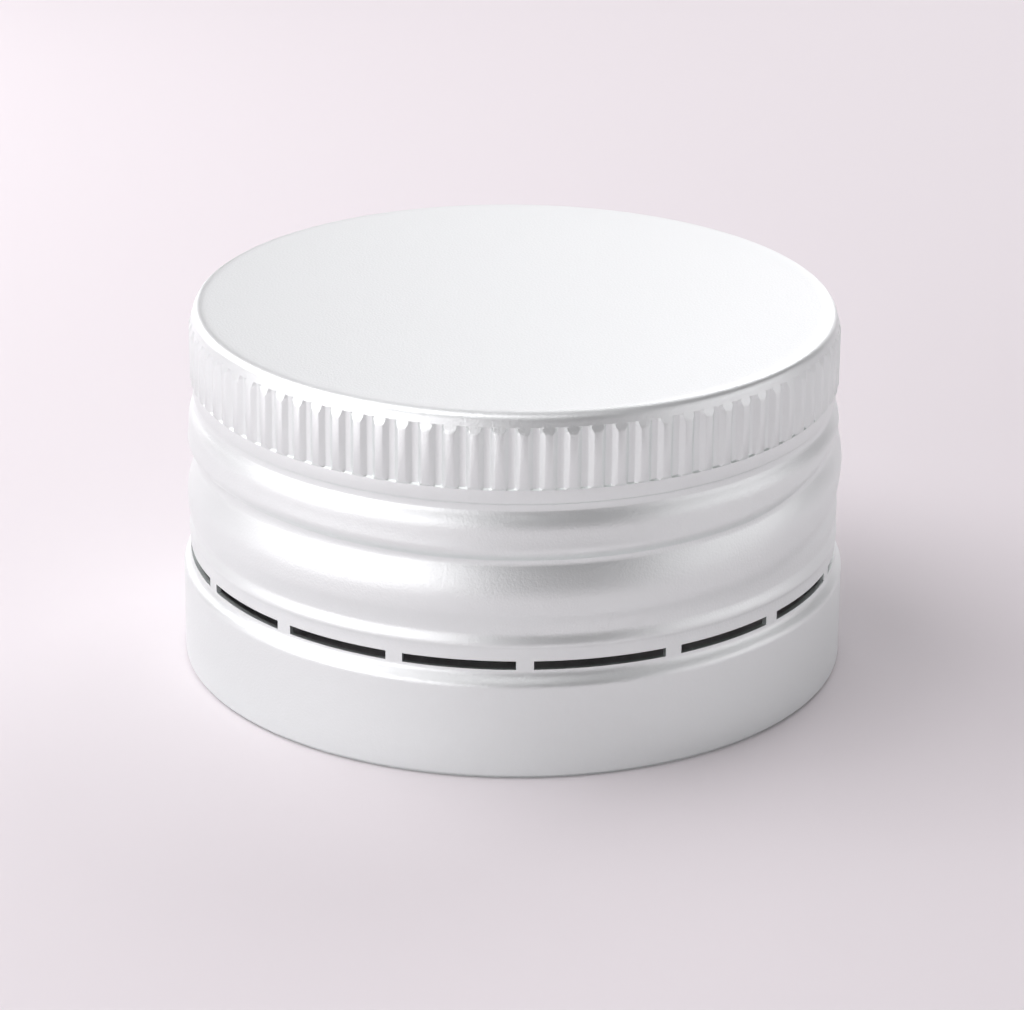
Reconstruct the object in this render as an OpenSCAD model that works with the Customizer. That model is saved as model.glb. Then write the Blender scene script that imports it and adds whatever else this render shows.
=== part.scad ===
// Roll-on screw cap. A one-piece drawn aluminium shell has a knurled grip, a rolled
// thread groove and a plain tamper band below a ring of slots. A soft liner seats
// under its top panel. The cap stands on its rim, which is z = 0, with its axis on Z.
// Angles are counted from +X, so the front of the cap is at -90.

/* [Overall] */
// Height from the rim to the top panel
cap_h = 17.35; // [16.8:0.05:20]
// Outer diameter of the tamper band, the widest part
band_d = 31.6; // [31.2:0.1:33]
// Outer diameter of the slotted ring above the band
ring_d = 30.92; // [30.7:0.02:31.1]
// Thickness of the sheet
sheet_t = 0.23; // [0.16:0.01:0.3]

/* [Tamper band] */
// Height of the plain band
band_h = 4.45; // [3:0.05:5.5]
// Height of the sloping step from the band in to the slotted ring
step_h = 0.72; // [0.4:0.02:1.2]

/* [Slots] */
// Height of the slotted ring, from the step to the bead
ring_h = 1.04; // [0.8:0.02:1.6]
// Plain sheet between the step and the slots
slot_rise = 0.08; // [0.04:0.01:0.2]
// Height of a slot
slot_h = 0.42; // [0.25:0.01:0.55]
// Number of bridges that hold the band
bridge_count = 16; // [8:1:20]
// Width of a bridge
bridge_w = 0.8; // [0.5:0.05:1.4]
// Angle of the bridge nearest the front
front_bridge = -87.8; // [-100:0.1:-80]
// Extra length of the one slot where the cut starts and ends, in degrees
long_slot = 3.7; // [0:0.1:6]

/* [Bead] */
// Height of the bead's lower side, which springs out of the ring
bead_rise = 0.16; // [0.1:0.01:0.3]
// Height of the bead's upper side, which falls back into the crease over it
bead_fall = 0.6; // [0.4:0.02:0.8]
// How far the bead stands out from the ring
bead_out = 0.05; // [0.03:0.01:0.2]
// Depth of the crease over the bead
bead_crease = 0.1; // [0.05:0.01:0.2]

/* [Thread] */
// Diameter over the bulge above the groove
upper_bulge_d = 30.88; // [30.7:0.02:31.1]
// Diameter over the bulge below the groove
lower_bulge_d = 31.1; // [30.8:0.02:31.2]
// Diameter over the ridge between the bulges, where the groove has not begun
ridge_d = 31.24; // [31.1:0.02:31.4]
// Height of the upper bulge's crest below the crease over it
upper_bulge_drop = 0.88; // [0.6:0.02:1.4]
// Height over which the lower bulge rises from the crease over the bead
lower_bulge_rise = 1; // [0.6:0.05:1.6]
// Height of the ridge below the crease over the upper bulge
ridge_drop = 2.67; // [2.2:0.01:3]
// Height from the ridge to the plain wall above and below it
ridge_spread = 1.2; // [0.8:0.05:1.4]
// Depth of the groove
groove_depth = 0.47; // [0.2:0.01:0.6]
// Depth of the groove where it runs on below itself
tail_depth = 0.12; // [0.05:0.01:0.2]
// Height of the groove's floor at its start
groove_floor = 0.25; // [0.1:0.01:0.5]
// How much higher the floor is once it has run round the front
floor_growth = 0.2; // [0:0.01:0.3]
// Height of the flank above the floor
upper_flank = 0.62; // [0.4:0.02:1.2]
// Height of the flank below the floor
lower_flank = 1.6; // [0.6:0.05:2]
// Mean height of the groove at the front, below the crease over the upper bulge
groove_drop = 1.93; // [1.8:0.01:2.4]
// Rise of the groove in one turn
thread_pitch = 3.05; // [2.6:0.05:3.3]
// How far the groove sags across the front, below its even rise
sag = 0.72; // [0:0.02:0.8]

/* [Crease and collar] */
// Diameter at the crease over the thread
crease_d = 30.24; // [29.8:0.02:30.3]
// Height from the crease up to the collar
crease_h = 0.44; // [0.3:0.02:0.7]
// Height of the collar's rounded lower lip
collar_lip = 0.14; // [0.1:0.01:0.28]
// Diameter of the plain collar below the knurl
collar_d = 30.44; // [30.3:0.02:30.7]
// Height of the collar
collar_h = 0.6; // [0.3:0.05:0.9]

/* [Knurl] */
// Number of ribs
rib_count = 88; // [60:1:100]
// Diameter over the ribs
rib_d = 30.7; // [30.6:0.02:31]
// Depth of the flutes between the ribs
flute_depth = 0.23; // [0.15:0.01:0.35]
// Height of the knurled zone
knurl_h = 2.96; // [2.4:0.02:3.6]
// Height of the foot of each flute, where it opens to the collar
foot_ramp = 0.1; // [0.06:0.01:0.4]
// Height over which each rib tapers at its top
rib_taper_h = 0.25; // [0.15:0.01:0.6]
// How far each rib tapers in at its top
rib_taper = 0.08; // [0.04:0.01:0.12]
// Height of the wall that ends each flute at its top
flute_end_h = 0.07; // [0.05:0.01:0.12]
// Width of a rib's flank and of its face, as shares of one pitch
flank_share = 0.21; // [0.15:0.01:0.3]
rib_share = 0.29; // [0.2:0.01:0.35]
// Angle of the middle of the left flank of the rib at the front
first_flank = -89.1; // [-92:0.1:-86]

/* [Top] */
// Width and height of the rounded edge of the top panel
shoulder_w = 0.69; // [0.5:0.01:0.9]
shoulder_h = 0.61; // [0.45:0.01:0.8]
// Power that makes the edge squarer than an ellipse, below 1
rounding = 0.85; // [0.7:0.01:1]

/* [Liner] */
// Thickness of the liner
liner_t = 2; // [1:0.1:2.5]
// Clearance between the liner's edge and the shell
liner_gap = 0.15; // [0.05:0.01:0.4]

/* [Hidden] */
turned_faces = 176;
thread_columns = 88;
// Faceted rings end this far inside the turned rings that they meet
seam = 0.01;

// Heights of the zones, from the rim up
step_top = band_h + step_h;
bead_z = step_top + ring_h;
bead_crest_z = bead_z + bead_rise;
thread_z = bead_crest_z + bead_fall;
knurl_top = cap_h - shoulder_h;
knurl_z = knurl_top - knurl_h;
crease_top = knurl_z - collar_h;
crease_z = crease_top - crease_h;
upper_crest_z = crease_z - upper_bulge_drop;
ridge_z = crease_z - ridge_drop;
// The wall turns in from the lower bulge's radius to the upper one's over this height
bulge_blend = 1.9;
// The groove fades out this close to the ends of the threaded zone
edge_fade = 0.4;

// Radii of the outer skin
band_r = band_d / 2;
ring_r = ring_d / 2;
bead_r = ring_r + bead_out;
bead_crease_r = ring_r - bead_crease;
lower_bulge_r = lower_bulge_d / 2;
upper_bulge_r = upper_bulge_d / 2;
ridge_r = ridge_d / 2;
crease_r = crease_d / 2;
collar_r = collar_d / 2;
rib_r = rib_d / 2;
flute_r = rib_r - flute_depth;
strip_r = rib_r - rib_taper;
panel_r = strip_r - shoulder_w;

// Angles along the groove, from its start on the right round the front and on below itself
groove_start = 106;
groove_deep = 25;
groove_fading = -120;
groove_tail = -265;
groove_end = -450;
tail_fade = 90;
// The groove sags most at this angle past the front, and not at all this far to each side
sag_turn = 41;
sag_left = 120;
sag_right = 44;
// The floor has grown to its full height at this angle
floor_grown = -55;
// The lower flank is straight over this share of its height, and rounds off over the rest
straight_share = 0.5;
front_axis = -90;

function ease(t) = (1 - cos(180 * max(0, min(1, t)))) / 2;
function blend(a, b, t) = a + (b - a) * t;
function spread(from, to, steps) = [for (i = [0:steps]) blend(from, to, i / steps)];

// Height of the groove at an angle counted from the front, and its depth there
function groove_sag(past) = sag * (1 - ease(abs(past) / (past < 0 ? sag_left : sag_right)));
function groove_height(a) =
    crease_z - groove_drop + thread_pitch * a / 360
        - groove_sag(a - sag_turn - 360 * round((a - sag_turn) / 360));
function groove_cut(a) =
    a > groove_start || a < groove_end ? 0
    : a > groove_fading ? groove_depth * ease((groove_start - a) / (groove_start - groove_deep))
    : a > groove_tail
        ? blend(groove_depth, tail_depth, ease((groove_fading - a) / (groove_fading - groove_tail)))
    : tail_depth * ease((a - groove_end) / tail_fade);
// Section of the groove, 1 on its floor and 0 past its flanks
function flank_slope() = 2 / (1 + straight_share);
function lower_shape(off) =
    off < straight_share ? 1 - flank_slope() * off
    : flank_slope() / 2 * pow(1 - off, 2) / (1 - straight_share);
function half_floor(a) = (groove_floor + floor_growth * ease(a / floor_grown)) / 2;
function groove_shape(dz, half) =
    let (off = max(0, min(1, (abs(dz) - half) / (dz > 0 ? upper_flank : lower_flank))))
    dz > 0 ? 1 - sin(90 * off) : lower_shape(off);
function groove(z, a) =
    z < thread_z || z > crease_z ? 0
    : (groove_cut(a) * groove_shape(z - groove_height(a), half_floor(a))
        + groove_cut(a - 360) * groove_shape(z - groove_height(a - 360), half_floor(a - 360)))
        * ease(min(z - thread_z, crease_z - z) / edge_fade);

// Radius of the outer skin of the wall, without the groove
function bulges(z) =
    blend(lower_bulge_r, upper_bulge_r, ease((z - upper_crest_z + bulge_blend) / bulge_blend))
        + (ridge_r - lower_bulge_r) * (1 - ease(abs(z - ridge_z) / ridge_spread));
function wall_radius(z) =
    z < band_h ? band_r
    : z < step_top ? blend(band_r, ring_r, ease((z - band_h) / step_h))
    : z < bead_z ? ring_r
    : z < bead_crest_z ? blend(ring_r, bead_r, ease((z - bead_z) / bead_rise))
    : z < thread_z ? blend(bead_r, bead_crease_r, ease((z - bead_crest_z) / bead_fall))
    : z < thread_z + lower_bulge_rise
        ? blend(bead_crease_r, lower_bulge_r, pow(sin(90 * (z - thread_z) / lower_bulge_rise), 0.6))
    : z < upper_crest_z ? bulges(z)
    : z < crease_z ? blend(crease_r, upper_bulge_r, sin(90 * (crease_z - z) / upper_bulge_drop))
    : blend(crease_r, collar_r, ease((z - crease_top + collar_lip) / collar_lip));

// Radii of the two skins. The inner one keeps the sheet's thickness from the outer one
function outer_radius(z, a = 180) = wall_radius(z) - groove(z, a);
function inner_radius(z, a = 180) =
    min([for (d = [-1:0.25:1]) outer_radius(z + d * sheet_t, a) - sheet_t * sqrt(1 - d * d)]);

// A turned piece of the wall through the given heights
module turned_wall(heights) {
    last = len(heights) - 1;
    rotate_extrude($fn = turned_faces)
        polygon(concat(
            [for (z = heights) [outer_radius(z), z]],
            [for (i = [last:-1:0]) [inner_radius(heights[i]), heights[i]]]
        ));
}

module band_and_bead() {
    bead = concat(spread(bead_z, bead_crest_z, 3), spread(bead_crest_z + bead_fall / 6, thread_z, 5));
    turned_wall(concat([0], spread(band_h, step_top, 8), bead));
}

// One slot through the sheet, between two angles
module slot(from, to) {
    cut = sheet_t * 2;
    rotate([0, 0, from])
        rotate_extrude(angle = to - from, $fn = turned_faces)
            translate([ring_r - sheet_t - cut / 2, step_top + slot_rise])
                square([sheet_t + cut, slot_h]);
}

module slots() {
    pitch = (360 - long_slot) / bridge_count;
    half_bridge = bridge_w / ring_r * 90 / PI;
    slot(front_bridge + half_bridge, front_bridge + long_slot + pitch - half_bridge);
    for (i = [1:bridge_count - 1]) {
        from = front_bridge + long_slot + i * pitch;
        slot(from + half_bridge, from + pitch - half_bridge);
    }
}

// Rows of the threaded zone follow the groove, and cross from one turn to the next past its start
rows_below = 8;
rows_above = 6;
function row_centre(a) =
    groove_height(a) - thread_pitch * ease((a - groove_start) / 45);
function row_height(row, a) =
    row < rows_below
        ? blend(row_centre(a) - half_floor(a), thread_z, pow((rows_below - 1 - row) / (rows_below - 1), 1.4))
        : blend(row_centre(a) + half_floor(a), crease_z, pow((row - rows_below) / (rows_above - 1), 1.4));

// A closed skin from two grids of points, one outside the other: outer[row][column]
module skin(outer, inner, flip) {
    rows = len(outer);
    columns = len(outer[0]);
    count = rows * columns;
    points = concat([for (row = outer) each row], [for (row = inner) each row]);
    function at(side, row, column) = side * count + row * columns + column % columns;
    function quad(a, b, c, d, turn) = turn ? [[a, b, c], [a, c, d]] : [[a, b, d], [b, c, d]];
    walls = [
        for (side = [0, 1], row = [0:rows - 2], i = [0:columns - 1])
            let (j = i + side, k = i + 1 - side)
            each quad(
                at(side, row, k), at(side, row, j), at(side, row + 1, j), at(side, row + 1, k),
                (flip[i % len(flip)] + side) % 2 == 1
            )
    ];
    rims = [
        for (end = [0, 1], i = [0:columns - 1])
            let (row = end * (rows - 1), j = i + end, k = i + 1 - end)
            each quad(at(0, row, j), at(0, row, k), at(1, row, k), at(1, row, j), true)
    ];
    polyhedron(points, concat(walls, rims));
}

module thread() {
    step = 360 / thread_columns;
    last = rows_below + rows_above - 1;
    function inset(row) = row == 0 || row == last ? seam : 0;
    function ring(row, inside) = [
        for (i = [0:thread_columns - 1])
            let (
                a = i * step - 180,
                z = row_height(row, a),
                r = inside ? inner_radius(z, a) + 2 * inset(row) : outer_radius(z, a) - inset(row)
            )
            [r * cos(a + front_axis), r * sin(a + front_axis), z]
    ];
    skin([for (row = [0:last]) ring(row, false)], [for (row = [0:last]) ring(row, true)], [0]);
}

// Knurled zone: flutes pressed into a wall, with four corners to a pitch
module knurl() {
    pitch = 360 / rib_count;
    half = flank_share / 2;
    corners = [-half, half, half + rib_share, half + rib_share + flank_share];
    heights = [knurl_z, knurl_z + foot_ramp, knurl_top - rib_taper_h, knurl_top - flute_end_h, knurl_top];
    tapered_r = strip_r + rib_taper * flute_end_h / rib_taper_h;
    rib = [collar_r - seam, rib_r, rib_r, tapered_r, strip_r - seam];
    flute = [collar_r - seam, flute_r, flute_r, flute_r, strip_r - seam];
    last = len(heights) - 1;
    function on_rib(corner) = corner == 1 || corner == 2;
    function ring(row, inside) = [
        for (i = [0:rib_count - 1], corner = [0:3])
            let (
                turn = first_flank + pitch * (i + corners[corner]),
                thin = row == 0 || row == last ? sheet_t - 2 * seam : sheet_t,
                r = (on_rib(corner) ? rib : flute)[row] - (inside ? thin : 0)
            )
            [r * cos(turn), r * sin(turn), heights[row]]
    ];
    skin([for (row = [0:last]) ring(row, false)], [for (row = [0:last]) ring(row, true)], [0, 1, 1, 0]);
}

module crease_and_collar() {
    lip_z = crease_top - collar_lip;
    turned_wall(concat([crease_z], spread(lip_z, crease_top, 4), [knurl_z]));
}

module top_panel() {
    steps = 10;
    function edge(width, height, t) =
        [panel_r + width * pow(cos(t), rounding), knurl_top + height * pow(sin(t), rounding)];
    rotate_extrude($fn = turned_faces)
        polygon(concat(
            [for (t = spread(0, 90, steps)) edge(shoulder_w, shoulder_h, t)],
            [[0, cap_h], [0, cap_h - sheet_t]],
            [for (t = spread(90, 0, steps)) edge(shoulder_w - sheet_t, shoulder_h - sheet_t, t)]
        ));
}

module shell() {
    color("silver") {
        difference() {
            band_and_bead();
            slots();
        }
        thread();
        crease_and_collar();
        knurl();
        top_panel();
    }
}

// The liner is a disc held flat under the top panel
module liner() {
    edge = 0.3;
    r = flute_r - sheet_t - liner_gap;
    top = cap_h - sheet_t;
    color("whitesmoke")
        rotate_extrude($fn = turned_faces)
            polygon([
                [0, top - liner_t],
                [r, top - liner_t],
                [r, top - edge],
                [r - edge, top],
                [0, top]
            ]);
}

shell();
liner();
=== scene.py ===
"""Looks of a roll-on bottle cap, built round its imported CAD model.

A finer shell stands for the CAD one and has the same form: a knurled grip with eased
edges, a rolled thread groove, a slotted ring and a plain band, all in thin sheet. The
liner keeps its CAD mesh and gets its foam. Lengths are in metres. Angles are in degrees:
a turn round the cap counts from +X, and a place along the thread from the cap's front.
"""

import math

import bpy
import numpy as np
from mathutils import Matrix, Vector


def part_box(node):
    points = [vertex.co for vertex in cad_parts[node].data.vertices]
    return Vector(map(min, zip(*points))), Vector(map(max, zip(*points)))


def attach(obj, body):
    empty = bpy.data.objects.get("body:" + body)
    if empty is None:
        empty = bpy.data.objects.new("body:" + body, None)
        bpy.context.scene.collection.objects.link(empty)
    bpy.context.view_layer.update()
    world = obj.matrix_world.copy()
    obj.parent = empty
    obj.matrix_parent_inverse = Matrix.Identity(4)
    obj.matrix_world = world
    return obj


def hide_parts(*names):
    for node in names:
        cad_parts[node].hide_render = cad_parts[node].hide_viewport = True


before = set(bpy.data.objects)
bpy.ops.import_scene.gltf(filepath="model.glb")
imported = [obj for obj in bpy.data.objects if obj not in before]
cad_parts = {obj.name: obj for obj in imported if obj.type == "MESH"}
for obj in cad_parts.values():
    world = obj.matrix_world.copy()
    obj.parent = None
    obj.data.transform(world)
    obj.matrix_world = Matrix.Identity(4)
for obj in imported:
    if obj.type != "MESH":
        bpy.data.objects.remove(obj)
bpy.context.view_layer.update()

MM = 0.001
SHELL_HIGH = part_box("shell")[1]
BAND_R = SHELL_HIGH[0]
CAP_H = SHELL_HIGH[2]
FRONT = -90.0

# Sheet, tamper band and its rim, which is set back a little where the sheet was cut
SHEET = 0.23 * MM
RIM_SETBACK = 0.18 * MM
RIM_H = 0.13 * MM
RIM_ROUNDING = 0.06 * MM
BAND_H = 4.45 * MM
STEP_H = 0.72 * MM

# Slotted ring over the step, with one longer slot where the cut starts and ends
RING_R = BAND_R - 0.34 * MM
RING_H = 1.04 * MM
SLOT_RISE = 0.08 * MM
SLOT_H = 0.42 * MM
BRIDGES = 16
BRIDGE_W = 0.8 * MM
FRONT_BRIDGE = -87.8
LONG_SLOT = 3.7

# Bead above the slots, and the crease over it
BEAD_RISE = 0.16 * MM
BEAD_FALL = 0.6 * MM
BEAD_OUT = 0.05 * MM
BEAD_CREASE = 0.1 * MM

# Bulges above and below the groove, and the ridge between them where it hasn't begun
UPPER_BULGE_R = BAND_R - 0.36 * MM
LOWER_BULGE_R = BAND_R - 0.25 * MM
RIDGE_R = BAND_R - 0.18 * MM
UPPER_BULGE_DROP = 0.88 * MM
LOWER_BULGE_RISE = 1.0 * MM
LOWER_BULGE_ROUNDING = 0.6
BULGE_BLEND = 1.9 * MM
RIDGE_RISE = 3.1 * MM
RIDGE_SPREAD = 1.2 * MM

# Section of the rolled groove
GROOVE_DEPTH = 0.47 * MM
TAIL_DEPTH = 0.12 * MM
GROOVE_FLOOR = 0.25 * MM
FLOOR_GROWTH = 0.2 * MM
FLOOR_EDGE = 0.035 * MM
UPPER_FLANK = 0.62 * MM
LOWER_FLANK = 1.6 * MM
STRAIGHT_SHARE = 0.5
EDGE_FADE = 0.4 * MM

# Height of the groove at the front, its climb in a turn, and its sag across the front
GROOVE_RISE = 3.84 * MM
PITCH = 3.05 * MM
SAG = 0.72 * MM
SAG_PLACE = 41.0
SAG_LEFT = 120.0
SAG_RIGHT = 44.0

# Places along the groove, from its start on the right round the front and on below itself
GROOVE_START = 106.0
GROOVE_DEEP = 25.0
FLOOR_GROWN = -55.0
GROOVE_FADING = -120.0
GROOVE_TAIL = -265.0
GROOVE_END = -450.0
TAIL_FADE = 90.0

# Crease and collar over the thread
CREASE_R = BAND_R - 0.68 * MM
CREASE_H = 0.44 * MM
COLLAR_LIP = 0.14 * MM
COLLAR_R = BAND_R - 0.58 * MM
COLLAR_H = 0.6 * MM

# Knurl, with the widths of a rib's flank, face and eased edge as shares of one pitch
RIBS = 88
RIB_R = BAND_R - 0.45 * MM
FLUTE_DEPTH = 0.23 * MM
KNURL_H = 2.96 * MM
RIB_TAPER = 0.12 * MM
RIB_TAPER_H = 0.37 * MM
FLUTE_END_H = 0.07 * MM
FOOT_RAMP = 0.06 * MM
RIB_END = 0.15 * MM
FIRST_FLANK = -89.35
FLANK_SHARE = 0.2
RIB_SHARE = 0.32
EASED_EDGE = 0.02

# Rounded edge of the top panel
SHOULDER_W = 0.65 * MM
SHOULDER_H = 0.61 * MM
ROUNDING = 0.85
SHOULDER_LEAN = 0.33
PANEL_MARGIN = 0.3 * MM

# Heights of the zones and the radii that follow from them
STEP_TOP = BAND_H + STEP_H
SLOT_Z = STEP_TOP + SLOT_RISE
SLOT_TOP = SLOT_Z + SLOT_H
BEAD_Z = STEP_TOP + RING_H
BEAD_CREST_Z = BEAD_Z + BEAD_RISE
THREAD_Z = BEAD_CREST_Z + BEAD_FALL
KNURL_TOP = CAP_H - SHOULDER_H
KNURL_Z = KNURL_TOP - KNURL_H
CREASE_TOP = KNURL_Z - COLLAR_H
CREASE_Z = CREASE_TOP - CREASE_H
CREST_Z = CREASE_Z - UPPER_BULGE_DROP
BEAD_R = RING_R + BEAD_OUT
BEAD_CREASE_R = RING_R - BEAD_CREASE
FLUTE_R = RIB_R - FLUTE_DEPTH
STRIP_R = RIB_R - RIB_TAPER
PANEL_R = STRIP_R - SHOULDER_W

# Turns at which the rim's and the shoulder's roundings take a row
RIM_TURNS = (90, 50, 20, 0)
SHOULDER_TURNS = (2, 6, 10, 20, 30, 40, 50, 60, 70, 80, 90)
INNER_SHOULDER_TURNS = (90, 60, 30, 12)

# Rows up the band and over the knurl's foot, and single rows that keep an edge tight
BAND_ROWS = (1.5 * MM, 3.0 * MM, 4.1 * MM)
KNURL_ROWS = (0, FOOT_RAMP / 2, FOOT_RAMP, 0.1 * MM, RIB_END, 1.5 * MM)
UNDER_STEP = 0.08 * MM
UNDER_BEAD = 0.2 * MM
OVER_CREASE = (0.04 * MM, 0.1 * MM)
UNDER_KNURL = 0.04 * MM

# Rows on each side of the groove's floor, and how closely they bunch towards it
OUTER_THREAD_ROWS = (18, 13)
INNER_THREAD_ROWS = (7, 5)
BUNCH_BELOW = 1.5
BUNCH_ABOVE = 1.25
# The rows cross from one turn of the groove to the next over this angle past its start
ROW_CROSSING = 45.0
# Radii of the rings that close the top panel, and how many corners each takes as one
PANEL_RINGS = ((12.5 * MM, 8), (8.0 * MM, 4), (4.0 * MM, 1))
# An edge that bends by more than this shows as a crisp line
SHARP_ANGLE = 50.0

# Colour of each material
METAL = (0.85, 0.895, 0.88)
FOAM = (0.86, 0.86, 0.85)
FLOOR = (0.745, 0.723, 0.737)

# Floor, lamps and room. A lamp's width is a share of its distance
FLOOR_HALF = 0.6
LAMP_TINT = (1, 0.95, 0.985)
LAMP_WIDTH = 8 / 15
FAR = 0.3
NEAR = 0.15
# Name, degrees right of the front, degrees up, distance and glow of each lamp
LAMPS = [
    ("high_left", -60, 62, FAR, 2.9),
    ("high_back_left", -120, 62, FAR, 1.3),
    ("high_front", 0, 62, FAR, 1.1),
    ("left", -90, 38, FAR, 3.1),
    ("back_left", -120, 38, FAR, 2.0),
    ("near_left", -105, 38, NEAR, 1.1),
    ("front", 0, 38, FAR, 0.4),
    ("front_right", 60, 38, FAR, 0.4),
    ("back_right", 150, 38, FAR, 2.9),
    ("back", 180, 38, FAR, 1.0),
    ("low_left", -60, 14, FAR, 2.4),
    ("floor_left", -85, 4, FAR, 1.2),
    ("low_front_left", -30, 14, FAR, 1.9),
    ("low_back_left", -135, 16, NEAR, 2.3),
    ("low_back", 180, 14, FAR, 0.6),
    ("low_back_right", 150, 14, FAR, 1.2),
    ("low_right", 90, 14, FAR, 1.1),
    ("low_front_right", 60, 14, FAR, 0.9),
]
# Degrees above the horizon, and the room's brightness there
ROOM = [(0, 0.3), (10, 0.3), (18, 0.06), (40, 0.05), (58, 0.25), (90, 0.3)]

# Camera: its lens and sensor in mm, its place, the point it looks at and its roll
LENS = 143.9
SENSOR = 36
CAMERA_PLACE = (0, -182.34 * MM, 80.64 * MM)
CAMERA_TARGET = (-0.06 * MM, 0, 6.96 * MM)
CAMERA_ROLL = 0.521
CLIP_START = 10 * MM


def sin_of(angle):
    return np.sin(np.radians(angle))


def cos_of(angle):
    return np.cos(np.radians(angle))


def ease(t):
    """Smooth step from 0 to 1, held outside that range."""
    return (1 - np.cos(np.pi * np.clip(t, 0, 1))) / 2


def blend(a, b, t):
    return a + (b - a) * t


def steps(start, end, count):
    """Evenly spaced values from start to end, both included."""
    return [blend(start, end, i / count) for i in range(count + 1)]


# ---- form of the wall --------------------------------------------------------------------


def groove_height(a):
    """Height of the groove's middle, at an angle counted from the front.

    It climbs a pitch in a turn, but runs nearly level across the front and then climbs
    faster on the right.
    """
    past = (a - SAG_PLACE + 180) % 360 - 180
    sag = SAG * (1 - ease(np.abs(past) / np.where(past < 0, SAG_LEFT, SAG_RIGHT)))
    return THREAD_Z + GROOVE_RISE + PITCH * a / 360 - sag


def groove_cut(a):
    """Depth of the groove: it deepens past its start, then shallows into a faint tail."""
    start = GROOVE_DEPTH * ease((GROOVE_START - a) / (GROOVE_START - GROOVE_DEEP))
    fading = ease((GROOVE_FADING - a) / (GROOVE_FADING - GROOVE_TAIL))
    tail = TAIL_DEPTH * ease((a - GROOVE_END) / TAIL_FADE)
    cut = np.where(a > GROOVE_TAIL, blend(GROOVE_DEPTH, TAIL_DEPTH, fading), tail)
    cut = np.where(a > GROOVE_FADING, start, cut)
    return np.where((a > GROOVE_START) | (a < GROOVE_END), 0, cut)


def half_floor(a):
    """Half the height of the groove's floor, which widens towards the left."""
    return (GROOVE_FLOOR + FLOOR_GROWTH * ease(a / FLOOR_GROWN)) / 2


def groove_shape(dz, half):
    """Section of the groove, 1 on its floor and 0 past its flanks.

    The upper flank is hollow, and the lower one is straight and then rounds off.
    """
    off = np.clip((np.abs(dz) - half) / np.where(dz > 0, UPPER_FLANK, LOWER_FLANK), 0, 1)
    slope = 2 / (1 + STRAIGHT_SHARE)
    rounded = slope / 2 * (1 - off) ** 2 / (1 - STRAIGHT_SHARE)
    lower = np.where(off < STRAIGHT_SHARE, 1 - slope * off, rounded)
    return np.where(dz > 0, 1 - sin_of(90 * off), lower)


def groove(z, a):
    """How far the groove and its tail cut into the wall, fading out near the zone's ends."""
    turns = sum(
        groove_cut(turn) * groove_shape(z - groove_height(turn), half_floor(turn))
        for turn in (a, a - 360)
    )
    inside = (z > THREAD_Z) & (z < CREASE_Z)
    return np.where(inside, turns * ease(np.minimum(z - THREAD_Z, CREASE_Z - z) / EDGE_FADE), 0)


def plain_wall(z):
    """Radius of the outer skin from the rim to the collar, without the groove."""
    bead_top = ease((z - BEAD_CREST_Z) / BEAD_FALL)
    rise = np.clip((z - THREAD_Z) / LOWER_BULGE_RISE, 0, 1)
    lower = blend(BEAD_CREASE_R, LOWER_BULGE_R, sin_of(90 * rise) ** LOWER_BULGE_ROUNDING)
    middle = blend(LOWER_BULGE_R, UPPER_BULGE_R, ease((z - CREST_Z + BULGE_BLEND) / BULGE_BLEND))
    swell = 1 - ease(np.abs(z - THREAD_Z - RIDGE_RISE) / RIDGE_SPREAD)
    drop = np.clip((CREASE_Z - z) / UPPER_BULGE_DROP, 0, 1)
    zones = [
        (BAND_H, BAND_R),
        (STEP_TOP, blend(BAND_R, RING_R, ease((z - BAND_H) / STEP_H))),
        (BEAD_Z, RING_R),
        (BEAD_CREST_Z, blend(RING_R, BEAD_R, ease((z - BEAD_Z) / BEAD_RISE))),
        (THREAD_Z, blend(BEAD_R, BEAD_CREASE_R, bead_top)),
        (THREAD_Z + LOWER_BULGE_RISE, lower),
        (CREST_Z, middle + (RIDGE_R - LOWER_BULGE_R) * swell),
        (CREASE_Z, blend(CREASE_R, UPPER_BULGE_R, sin_of(90 * drop))),
    ]
    collar = blend(CREASE_R, COLLAR_R, ease((z - CREASE_TOP + COLLAR_LIP) / COLLAR_LIP))
    return np.select([z < top for top, _ in zones], [radius for _, radius in zones], collar)


def outer_wall(z, a):
    return plain_wall(z) - groove(z, a)


def inner_wall(z, a):
    """Inner skin, one sheet away from the outer one in every direction."""
    reach = np.linspace(-1, 1, 9)
    skins = [outer_wall(z + d * SHEET, a) - SHEET * math.sqrt(1 - d * d) for d in reach]
    return np.min(skins, axis=0)


# ---- columns of the shell's mesh, and its knurl ------------------------------------------


def rib_corners():
    """Places of a rib's four corners along one pitch, from the middle of its left flank."""
    half = FLANK_SHARE / 2
    return [-half, half, half + RIB_SHARE, half + RIB_SHARE + FLANK_SHARE]


# Two columns stand at each corner of a rib, so that its edges come out eased
EDGE_PAIR = [corner + side for corner in rib_corners() for side in (-EASED_EDGE, EASED_EDGE)]
PLACE = np.array([rib + place for rib in range(RIBS) for place in EDGE_PAIR])
TURN = FIRST_FLANK + PLACE * 360 / RIBS
COLUMNS = len(TURN)
AROUND = (TURN - FRONT + 180) % 360 - 180


def rib_section():
    """1 on a rib and 0 in a flute, for each column."""
    left, left_top, right_top, right = rib_corners()
    place = (PLACE - left) % 1.0 + left
    return np.interp(place, [left, left_top, right_top, right, left + 1], [0, 1, 1, 0, 0])


def rib_tip(z):
    """Radius of the ribs' lands: they slope off at the top and at their lower ends."""
    taper = STRIP_R + RIB_TAPER * (KNURL_TOP - z) / RIB_TAPER_H
    rib_end = COLLAR_R + (RIB_R - COLLAR_R) * (z - KNURL_Z) / RIB_END
    return min(RIB_R, taper, rib_end)


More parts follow.
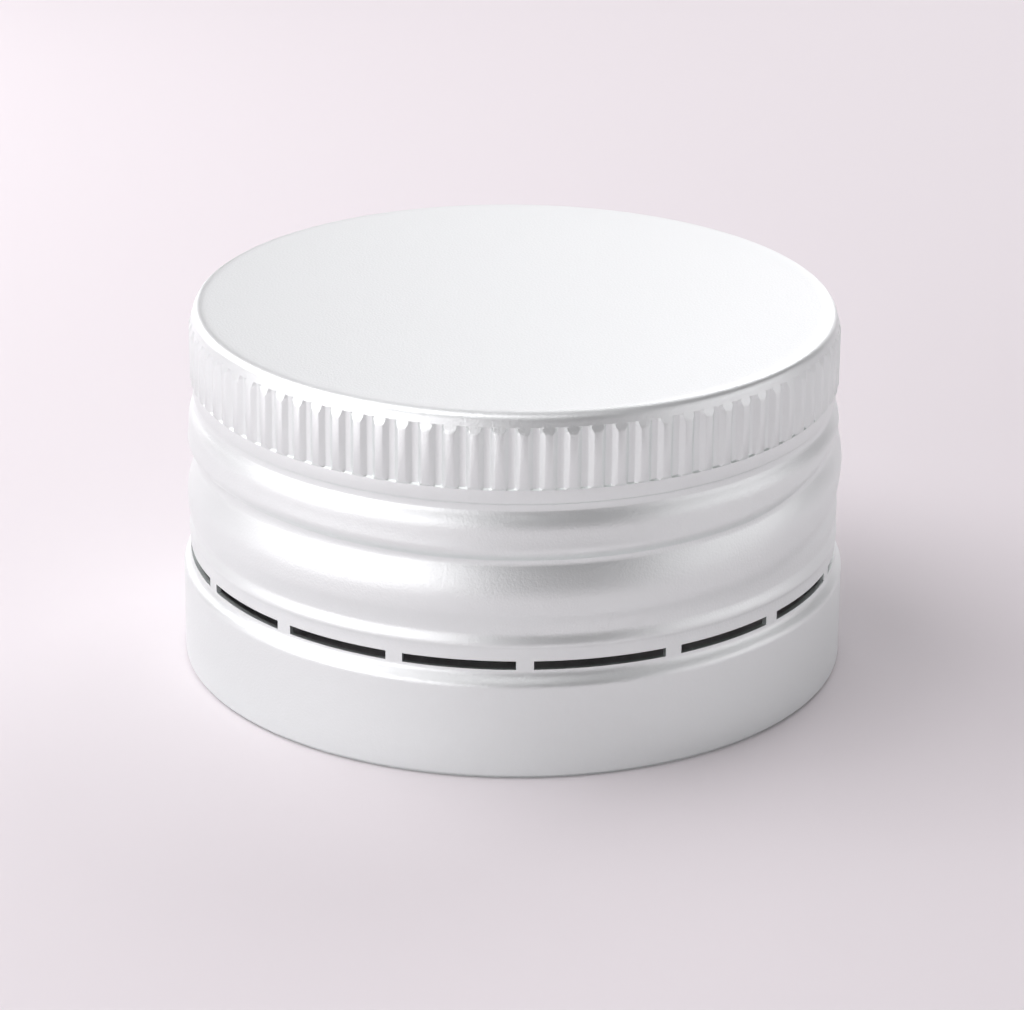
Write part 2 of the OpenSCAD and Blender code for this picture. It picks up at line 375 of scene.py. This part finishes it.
def rib_turns(z):
    """Turn of each column: a rib's edges part where its land is cut back into its flanks."""
    spread = FLANK_SHARE * (RIB_R - rib_tip(z)) / FLUTE_DEPTH
    side = np.tile([0, 0, -1, -1, 1, 1, 0, 0], RIBS)
    return TURN + side * spread * 360 / RIBS


def knurl_wall(z):
    """Knurled zone: flutes pressed into the wall, closed at both ends."""
    ribs = FLUTE_R + FLUTE_DEPTH * rib_section()
    sill = COLLAR_R - (COLLAR_R - FLUTE_R) * (z - KNURL_Z) / FOOT_RAMP
    roof = STRIP_R - FLUTE_DEPTH * (KNURL_TOP - z) / FLUTE_END_H
    return np.maximum(np.minimum(ribs, rib_tip(z)), max(sill, roof))


# ---- rows of the shell's mesh, each as heights and radii ---------------------------------


def level(value):
    """The same height or radius in every column."""
    return np.full(COLUMNS, float(value))


def rim_rows():
    """Rim from the floor up: its set-back foot, and the rounded lower edge of the band."""
    rows = [(level(z), level(BAND_R - RIM_SETBACK)) for z in (0, RIM_H)]
    for t in RIM_TURNS:
        z = RIM_H + RIM_ROUNDING * (1 - sin_of(t))
        rows.append((level(z), level(BAND_R - RIM_ROUNDING * (1 - cos_of(t)))))
    return rows


def band_heights():
    """Heights of the rows from the band up to the foot of the thread."""
    heights = [*BAND_ROWS, BAND_H - UNDER_STEP]
    heights += steps(BAND_H, STEP_TOP, 8)
    heights += [SLOT_Z, SLOT_TOP, BEAD_Z - UNDER_BEAD]
    heights += steps(BEAD_Z, BEAD_CREST_Z, 3)[:-1]
    return heights + steps(BEAD_CREST_Z, THREAD_Z, 7)


def thread_rows(low, high):
    """Heights of the rows below and above the groove's floor, bunched towards it."""
    middle = groove_height(AROUND) - PITCH * ease((AROUND - GROOVE_START) / ROW_CROSSING)
    floor, roof = middle - half_floor(AROUND), middle + half_floor(AROUND)
    below = [blend(floor, THREAD_Z, (1 - i / low) ** BUNCH_BELOW) for i in range(1, low)]
    above = [blend(roof, CREASE_Z, (i / high) ** BUNCH_ABOVE) for i in range(1, high + 1)]
    edges = [place + side for place in (floor, roof) for side in (-FLOOR_EDGE, FLOOR_EDGE)]
    return below + edges + above


def collar_heights():
    """Heights of the rows from just over the crease to the top of the collar's lip."""
    heights = [CREASE_Z + dz for dz in OVER_CREASE]
    return heights + steps(CREASE_TOP - COLLAR_LIP, CREASE_TOP, 4)


def knurl_rows():
    """Knurled zone, with rows where the ribs' feet, tapers and flute ends turn."""
    heights = [KNURL_Z + dz for dz in KNURL_ROWS]
    heights += steps(KNURL_TOP - RIB_TAPER_H, KNURL_TOP - FLUTE_END_H, 3)
    heights += steps(KNURL_TOP - FLUTE_END_H, KNURL_TOP, 2)[1:]
    return [(level(z), knurl_wall(z)) for z in heights]


def shoulder_rows():
    """Rounded edge of the top panel. It leans in a little over the knurl."""
    rows = []
    for t in SHOULDER_TURNS:
        rise = sin_of(t) ** ROUNDING
        lean = SHOULDER_LEAN * SHOULDER_H * rise * (1 - rise) ** 2
        radius = PANEL_R + SHOULDER_W * cos_of(t) ** ROUNDING - lean
        rows.append((level(KNURL_TOP + SHOULDER_H * rise), level(radius)))
    return rows


def outer_rows():
    """Rows of the outer skin, from the rim up to the top panel."""
    heights = [level(z) for z in band_heights()] + thread_rows(*OUTER_THREAD_ROWS)
    heights += [level(z) for z in collar_heights()]
    rows = rim_rows() + [(z, outer_wall(z, AROUND)) for z in heights]
    rows.append((level(KNURL_Z - UNDER_KNURL), level(COLLAR_R)))
    rows += knurl_rows() + shoulder_rows()
    rows.append((level(CAP_H), level(PANEL_R - PANEL_MARGIN)))
    return rows


def inner_rows():
    """Rows of the inner skin, from the top panel down to the rim."""
    rows = [(level(CAP_H - SHEET), level(PANEL_R - PANEL_MARGIN))]
    for t in INNER_SHOULDER_TURNS:
        z = KNURL_TOP + (SHOULDER_H - SHEET) * sin_of(t) ** ROUNDING
        rows.append((level(z), level(PANEL_R + (SHOULDER_W - SHEET) * cos_of(t) ** ROUNDING)))
    for z in (KNURL_TOP, KNURL_TOP - RIB_TAPER_H, KNURL_Z + FOOT_RAMP, KNURL_Z):
        rows.append((level(z), knurl_wall(z) - SHEET))
    heights = [level(z) for z in steps(CREASE_TOP, CREASE_Z, 3)]
    heights += thread_rows(*INNER_THREAD_ROWS)[-2::-1]
    heights += [level(z) for z in (THREAD_Z, THREAD_Z - BEAD_FALL / 2, BEAD_CREST_Z, BEAD_Z)]
    heights += [level(SLOT_TOP), level(SLOT_Z)]
    heights += [level(z) for z in steps(STEP_TOP, BAND_H, 4) + [0]]
    return rows + [(z, inner_wall(z, AROUND)) for z in heights]


# ---- mesh of the shell -------------------------------------------------------------------


def slot_spans():
    """First and last turn of each slot between the bridges."""
    pitch = (360 - LONG_SLOT) / BRIDGES
    half = math.degrees(BRIDGE_W / RING_R / 2)
    spans = [(FRONT_BRIDGE + half, FRONT_BRIDGE + LONG_SLOT + pitch - half)]
    for i in range(1, BRIDGES):
        first = FRONT_BRIDGE + LONG_SLOT + i * pitch
        spans.append((first + half, first + pitch - half))
    return spans


def nearest_column(turn):
    return int(np.abs((TURN - turn + 180) % 360 - 180).argmin())


class SheetMesh:
    """Grid of rows and columns that closes on itself, with slots and two end discs."""

    def __init__(self, outside, inside):
        self.rows = outside + inside
        self.edge = len(outside)
        self.turns = np.tile(TURN, (len(self.rows), 1))
        self.knurl = range(self.row_at(KNURL_Z, False), self.row_at(KNURL_TOP, False))
        for row in self.knurl:
            self.turns[row] = rib_turns(self.rows[row][0][0])
        self.faces = []
        self.flat = []
        self.centres = []

    def at(self, row, column):
        return (row % len(self.rows)) * COLUMNS + column % COLUMNS

    def row_at(self, height, inside):
        """Index of the level row at a height, on one of the two skins."""
        span = range(self.edge, len(self.rows)) if inside else range(self.edge)
        return next(i for i in span if np.all(self.rows[i][0] == height))

    def quad(self, *corners):
        self.faces.append([self.at(row, column) for row, column in corners])

    def slots(self):
        """Cuts the slots through both skins and walls them, and returns the skipped cells."""
        out_low, out_high = self.row_at(SLOT_Z, False), self.row_at(SLOT_TOP, False)
        in_low, in_high = self.row_at(SLOT_Z, True), self.row_at(SLOT_TOP, True)
        skip = set()
        for first_turn, last_turn in slot_spans():
            first, last = nearest_column(first_turn), nearest_column(last_turn)
            for row in (out_low, out_high, in_low, in_high):
                self.turns[row, first] = first_turn
                self.turns[row, last] = last_turn
            for column in range(first, first + (last - first) % COLUMNS):
                skip.update({(out_low, column % COLUMNS), (in_high, column % COLUMNS)})
                after = column + 1
                self.quad((out_low, column), (out_low, after), (in_low, after), (in_low, column))
                self.quad((out_high, after), (out_high, column), (in_high, column), (in_high, after))
            self.quad((out_low, first), (in_low, first), (in_high, first), (out_high, first))
            self.quad((out_low, last), (out_high, last), (in_high, last), (in_low, last))
        return skip

    def grid(self, skip):
        """Fills the skins, apart from the skipped cells, and notes the knurl's faces as flat."""
        for row in range(len(self.rows)):
            if row == self.edge - 1:
                continue
            for column in range(COLUMNS):
                if (row, column) in skip:
                    continue
                if row in self.knurl:
                    self.flat.append(len(self.faces))
                self.quad((row, column), (row, column + 1), (row + 1, column + 1), (row + 1, column))

    def disc(self, row, height, upward):
        """Closes a row with rings of fewer and fewer corners, then a fan."""
        count = len(self.rows) * COLUMNS
        ring = [self.at(row, column) for column in range(COLUMNS)]
        for radius, step in PANEL_RINGS:
            turns = TURN[:: COLUMNS // len(ring)][::step]
            start = count + len(self.centres)
            self.centres += [(radius * cos_of(t), radius * sin_of(t), height) for t in turns]
            inner = list(range(start, start + len(turns)))
            for j in range(len(inner)):
                face = [ring[(j * step + k) % len(ring)] for k in range(step + 1)]
                face += [inner[(j + 1) % len(inner)], inner[j]]
                self.faces.append(face if upward else face[::-1])
            ring = inner
        self.centres.append((0, 0, height))
        middle = count + len(self.centres) - 1
        for j in range(len(ring)):
            face = [ring[j], ring[(j + 1) % len(ring)], middle]
            self.faces.append(face if upward else face[::-1])

    def make(self, name):
        self.grid(self.slots())
        self.disc(self.edge - 1, CAP_H, True)
        self.disc(self.edge, CAP_H - SHEET, False)
        points = []
        for (z, radius), turns in zip(self.rows, self.turns):
            points += list(zip(radius * cos_of(turns), radius * sin_of(turns), z))
        mesh = bpy.data.meshes.new(name)
        mesh.from_pydata(points + self.centres, [], self.faces)
        mesh.update()
        smooth = np.ones(len(mesh.polygons), bool)
        smooth[self.flat] = False
        mesh.polygons.foreach_set("use_smooth", smooth)
        mesh.set_sharp_from_angle(angle=math.radians(SHARP_ANGLE))
        return add_object(name, mesh)


# ---- materials ---------------------------------------------------------------------------


def new_material(name, colour, roughness, metallic):
    material = bpy.data.materials.new(name)
    material.use_nodes = True
    shader = material.node_tree.nodes["Principled BSDF"]
    shader.inputs["Base Color"].default_value = (*colour, 1)
    shader.inputs["Roughness"].default_value = roughness
    shader.inputs["Metallic"].default_value = metallic
    return material, shader


def add_grain(material, shader, scale, detail, strength, distance):
    """Fine grain: bump from noise in the piece's own coordinates."""
    tree = material.node_tree
    place = tree.nodes.new("ShaderNodeTexCoord")
    noise = tree.nodes.new("ShaderNodeTexNoise")
    bump = tree.nodes.new("ShaderNodeBump")
    noise.inputs["Scale"].default_value = scale
    noise.inputs["Detail"].default_value = detail
    bump.inputs["Strength"].default_value = strength
    bump.inputs["Distance"].default_value = distance
    tree.links.new(place.outputs["Object"], noise.inputs["Vector"])
    tree.links.new(noise.outputs["Fac"], bump.inputs["Height"])
    tree.links.new(bump.outputs["Normal"], shader.inputs["Normal"])


def lacquered_aluminium():
    material, shader = new_material("lacquered_aluminium", METAL, roughness=0.45, metallic=1.0)
    add_grain(material, shader, scale=9000, detail=2, strength=0.7, distance=0.016 * MM)
    return material


def liner_foam():
    material, shader = new_material("liner_foam", FOAM, roughness=0.75, metallic=0.0)
    add_grain(material, shader, scale=2500, detail=3, strength=0.4, distance=0.05 * MM)
    return material


def floor_material():
    material, shader = new_material("pale_floor", FLOOR, roughness=0.9, metallic=0.0)
    shader.inputs["Specular IOR Level"].default_value = 0.2
    return material


# ---- pieces ------------------------------------------------------------------------------


def add_object(name, data):
    item = bpy.data.objects.new(name, data)
    bpy.context.scene.collection.objects.link(item)
    return item


def build_shell():
    piece = SheetMesh(outer_rows(), inner_rows()).make("cap_shell")
    piece.data.materials.append(lacquered_aluminium())
    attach(piece, "root")
    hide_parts("shell")


def dress_liner():
    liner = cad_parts["liner"]
    liner.data.materials.clear()
    liner.data.materials.append(liner_foam())


def build_floor():
    corners = [(-1, -1), (1, -1), (1, 1), (-1, 1)]
    mesh = bpy.data.meshes.new("floor")
    mesh.from_pydata([(x * FLOOR_HALF, y * FLOOR_HALF, 0) for x, y in corners], [], [(0, 1, 2, 3)])
    mesh.materials.append(floor_material())
    add_object("floor", mesh)


# ---- light and camera --------------------------------------------------------------------


def point_at(item, target):
    direction = Vector(target) - item.location
    item.rotation_euler = direction.to_track_quat("-Z", "Y").to_euler()


def add_lamp(name, side, height, distance, glow):
    """Soft round lamp that faces the cap."""
    data = bpy.data.lights.new(name, "AREA")
    data.shape = "DISK"
    data.size = distance * LAMP_WIDTH
    data.color = LAMP_TINT
    data.energy = glow * (math.pi * data.size / 2) ** 2
    lamp = add_object(name, data)
    reach = distance * cos_of(height)
    x = reach * cos_of(side + FRONT)
    y = reach * sin_of(side + FRONT)
    lamp.location = (x, y, distance * sin_of(height) + CAP_H / 2)
    point_at(lamp, (0, 0, CAP_H / 2))


def add_room():
    """Soft grey room, with a brightness for each height above the horizon."""
    world = bpy.data.worlds.new("soft_studio")
    world.use_nodes = True
    tree = world.node_tree
    direction = tree.nodes.new("ShaderNodeTexCoord")
    split = tree.nodes.new("ShaderNodeSeparateXYZ")
    ramp = tree.nodes.new("ShaderNodeValToRGB")
    tree.links.new(direction.outputs["Generated"], split.inputs["Vector"])
    tree.links.new(split.outputs["Z"], ramp.inputs["Fac"])
    tree.links.new(ramp.outputs["Color"], tree.nodes["Background"].inputs["Color"])
    stops = ramp.color_ramp.elements
    stops.remove(stops[1])
    for i, (height, grey) in enumerate(ROOM):
        stop = stops[0] if i == 0 else stops.new(sin_of(height))
        stop.position = sin_of(height)
        stop.color = (*(grey * tint for tint in LAMP_TINT), 1)
    bpy.context.scene.world = world


def add_camera():
    data = bpy.data.cameras.new("camera")
    data.lens = LENS
    data.sensor_width = SENSOR
    data.clip_start = CLIP_START
    camera = add_object("camera", data)
    camera.location = CAMERA_PLACE
    point_at(camera, CAMERA_TARGET)
    camera.rotation_euler.rotate_axis("Z", math.radians(CAMERA_ROLL))
    bpy.context.scene.camera = camera


build_shell()
dress_liner()
build_floor()
for lamp in LAMPS:
    add_lamp(*lamp)
add_room()
add_camera()
bpy.context.scene.view_settings.view_transform = "Standard"
